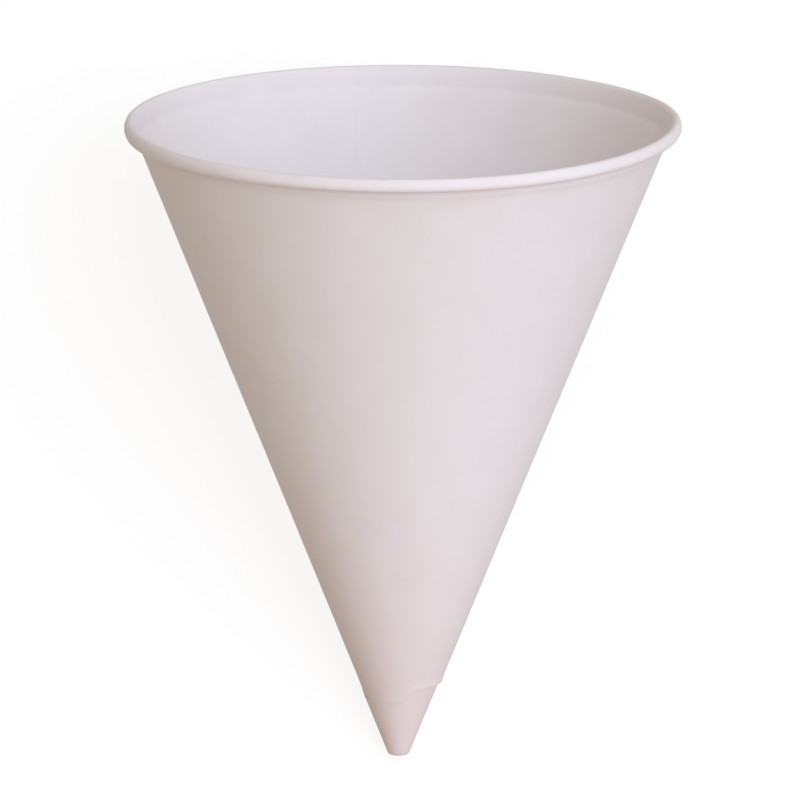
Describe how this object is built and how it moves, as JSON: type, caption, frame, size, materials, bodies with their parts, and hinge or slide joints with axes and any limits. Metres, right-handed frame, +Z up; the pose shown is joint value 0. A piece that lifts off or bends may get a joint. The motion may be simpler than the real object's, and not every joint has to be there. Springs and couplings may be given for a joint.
{
  "type": "cone paper cup",
  "caption": "Cone cup of plain white paper, wound from one sheet with a lapped side seam, a blunt wound tip and a rolled rim, for a drink of water.",
  "frame": {"origin": "on the surface the cup lies on, below the middle of its overall length and width", "axes": "+X from the tip towards the mouth along the surface, +Z up, the side seam below"},
  "size_m": [0.0934, 0.073, 0.0676],
  "materials": {
    "paper": "matte"
  },
  "bodies": {
    "root": {"cup": "paper"}
  },
  "joints": []
}
